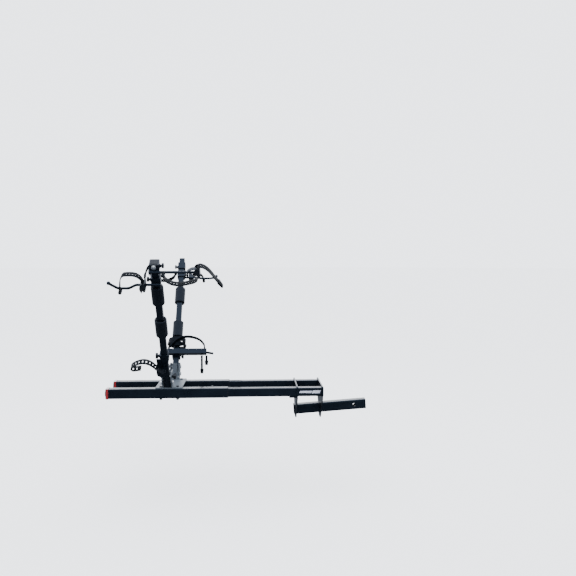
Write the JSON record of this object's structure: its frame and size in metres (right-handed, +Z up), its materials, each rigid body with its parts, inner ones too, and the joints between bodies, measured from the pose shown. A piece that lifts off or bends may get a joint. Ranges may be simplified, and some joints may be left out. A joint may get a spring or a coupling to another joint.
{
  "type": "hitch bike rack",
  "caption": "Twin-rail slide-out hitch rack that holds bicycles upright by their tyres, with leaning posts, foam sleeves, wheel arms and ladder straps.",
  "frame": {"origin": "centre of the hitch pin hole in the tongue", "axes": "+X along the rails towards the vehicle, +Y across the vehicle along the hitch pin hole, +Z up"},
  "size_m": [1.3716, 1.2785, 0.8536],
  "materials": {
    "black_powder_coat": "satin black powder coat",
    "silver_bracket_steel": "silver grey powder coat",
    "zinc_plated_steel": "bright zinc plate",
    "black_moulded_plastic": "moulded black",
    "nylon": "black nylon",
    "stop_rubber": "matte rubber",
    "red_reflector": "clear red reflector",
    "black_foam": "closed-cell foam",
    "strap_rubber": "moulded ladder strap",
    "black_buckle_steel": "black zinc steel"
  },
  "bodies": {
    "hitch_frame": {"hitch_tongue": "black_powder_coat", "tongue_end_cap": "black_moulded_plastic", "rear_cross_plate": "black_powder_coat", "front_cross_plate": "black_powder_coat", "near_inner_rail": "black_powder_coat", "far_inner_rail": "black_powder_coat", "inner_rail_caps": "black_moulded_plastic", "slide_stops": "stop_rubber"},
    "slide_carriage": {"near_outer_rail": "black_powder_coat", "far_outer_rail": "black_powder_coat", "outer_rail_caps": "black_moulded_plastic", "rail_reflectors": "red_reflector", "slide_bushes": "nylon", "bracket_base_plate": "silver_bracket_steel", "base_bolts": "zinc_plated_steel", "base_nuts": "zinc_plated_steel", "near_clevis": "silver_bracket_steel", "far_clevis": "silver_bracket_steel", "pivot_bolts": "zinc_plated_steel", "pivot_spacers": "nylon", "lock_pin_housing": "black_powder_coat"},
    "lock_pin": {"lock_pull_pin": "zinc_plated_steel"},
    "near_upright": {"near_post": "black_powder_coat", "near_post_cap": "black_moulded_plastic", "near_foam_pads": "black_foam", "near_clamp_bolt": "zinc_plated_steel"},
    "near_clamp": {"near_clamp_knob": "black_moulded_plastic"},
    "far_upright": {"far_post": "black_powder_coat", "far_post_cap": "black_moulded_plastic", "far_foam_pads": "black_foam", "far_clamp_bolt": "zinc_plated_steel"},
    "far_clamp": {"far_clamp_knob": "black_moulded_plastic"},
    "near_high_unit": {"near_high_arm": "black_powder_coat", "near_high_strap": "strap_rubber", "near_high_buckle": "black_buckle_steel"},
    "near_high_lever": {"near_high_lever": "black_moulded_plastic"},
    "near_high_knob": {"near_high_knob": "black_moulded_plastic"},
    "near_low_unit": {"near_low_arm": "black_powder_coat", "near_low_strap": "strap_rubber", "near_low_buckle": "black_buckle_steel"},
    "near_low_lever": {"near_low_lever": "black_moulded_plastic"},
    "near_low_knob": {"near_low_knob": "black_moulded_plastic"},
    "far_high_unit": {"far_high_arm": "black_powder_coat", "far_high_strap": "strap_rubber", "far_high_buckle": "black_buckle_steel"},
    "far_high_lever": {"far_high_lever": "black_moulded_plastic"},
    "far_high_knob": {"far_high_knob": "black_moulded_plastic"},
    "far_low_unit": {"far_low_arm": "black_powder_coat", "far_low_strap": "strap_rubber", "far_low_buckle": "black_buckle_steel"},
    "far_low_lever": {"far_low_lever": "black_moulded_plastic"},
    "far_low_knob": {"far_low_knob": "black_moulded_plastic"},
    "near_lower_unit": {"near_lower_cradle": "black_powder_coat", "near_lower_strap": "strap_rubber"},
    "near_lower_knob": {"near_lower_knob": "black_moulded_plastic"},
    "far_lower_unit": {"far_lower_cradle": "black_powder_coat", "far_lower_strap": "strap_rubber"},
    "far_lower_knob": {"far_lower_knob": "black_moulded_plastic"}
  },
  "joints": [
    {"name": "carriage_slide", "type": "slide", "parent": "hitch_frame", "child": "slide_carriage", "axis": [1, 0, 0], "range_m": [0, 0.318]},
    {"name": "lock_pin_slide", "type": "slide", "parent": "slide_carriage", "child": "lock_pin", "axis": [0, -1, 0], "range_m": [0, 0.0065]},
    {"name": "near_post_fold", "type": "hinge", "parent": "slide_carriage", "child": "near_upright", "pos_m": [-0.985, -0.13151, 0.14986], "axis": [-1, 0, 0], "range_deg": [0, 34]},
    {"name": "near_clamp_turn", "type": "hinge", "parent": "near_upright", "child": "near_clamp", "pos_m": [-0.949, -0.15796, 0.18627], "axis": [1, 0, 0], "continuous": true},
    {"name": "far_post_fold", "type": "hinge", "parent": "slide_carriage", "child": "far_upright", "pos_m": [-0.973, 0.13151, 0.14986], "axis": [1, 0, 0], "range_deg": [0, 34]},
    {"name": "far_clamp_turn", "type": "hinge", "parent": "far_upright", "child": "far_clamp", "pos_m": [-1.009, 0.15796, 0.18627], "axis": [1, 0, 0], "continuous": true},
    {"name": "near_high_slide", "type": "slide", "parent": "near_upright", "child": "near_high_unit", "axis": [0, -0.5878, 0.809], "range_m": [-0.03, 0]},
    {"name": "near_high_lever_turn", "type": "hinge", "parent": "near_high_unit", "child": "near_high_lever", "pos_m": [-0.798, -0.62288, 0.74216], "axis": [0, 0.809, 0.5878], "range_deg": [-70, 25]},
    {"name": "near_high_knob_turn", "type": "hinge", "parent": "near_high_unit", "child": "near_high_knob", "pos_m": [-0.949, -0.57411, 0.75905], "axis": [1, 0, 0], "continuous": true},
    {"name": "near_low_slide", "type": "slide", "parent": "near_upright", "child": "near_low_unit", "axis": [0, -0.5878, 0.809], "range_m": [-0.015, 0.03]},
    {"name": "near_low_lever_turn", "type": "hinge", "parent": "near_low_unit", "child": "near_low_lever", "pos_m": [-1.0445, -0.57174, 0.67178], "axis": [0, 0.809, 0.5878], "range_deg": [0, 75]},
    {"name": "near_low_knob_turn", "type": "hinge", "parent": "near_low_unit", "child": "near_low_knob", "pos_m": [-1.021, -0.52885, 0.69676], "axis": [1, 0, 0], "continuous": true},
    {"name": "far_high_slide", "type": "slide", "parent": "far_upright", "child": "far_high_unit", "axis": [0, 0.5878, 0.809], "range_m": [-0.012, 0.03]},
    {"name": "far_high_lever_turn", "type": "hinge", "parent": "far_high_unit", "child": "far_high_lever", "pos_m": [-1.16, 0.60289, 0.71466], "axis": [0, -0.809, 0.5878], "range_deg": [-70, 25]},
    {"name": "far_high_knob_turn", "type": "hinge", "parent": "far_high_unit", "child": "far_high_knob", "pos_m": [-1.009, 0.55413, 0.73154], "axis": [1, 0, 0], "continuous": true},
    {"name": "far_low_slide", "type": "slide", "parent": "far_upright", "child": "far_low_unit", "axis": [0, 0.5878, 0.809], "range_m": [-0.07, 0.012]},
    {"name": "far_low_lever_turn", "type": "hinge", "parent": "far_low_unit", "child": "far_low_lever", "pos_m": [-0.9135, 0.56821, 0.66692], "axis": [0, -0.809, 0.5878], "range_deg": [0, 75]},
    {"name": "far_low_knob_turn", "type": "hinge", "parent": "far_low_unit", "child": "far_low_knob", "pos_m": [-0.937, 0.51945, 0.68381], "axis": [1, 0, 0], "continuous": true},
    {"name": "near_lower_slide", "type": "slide", "parent": "near_upright", "child": "near_lower_unit", "axis": [0, -0.5878, 0.809], "range_m": [-0.015, 0.11]},
    {"name": "near_lower_knob_turn", "type": "hinge", "parent": "near_lower_unit", "child": "near_lower_knob", "pos_m": [-1.021, -0.24437, 0.30519], "axis": [1, 0, 0], "continuous": true},
    {"name": "far_lower_slide", "type": "slide", "parent": "far_upright", "child": "far_lower_unit", "axis": [0, 0.5878, 0.809], "range_m": [0, 0.01]},
    {"name": "far_lower_knob_turn", "type": "hinge", "parent": "far_lower_unit", "child": "far_lower_knob", "pos_m": [-0.937, 0.20087, 0.24532], "axis": [1, 0, 0], "continuous": true}
  ]
}
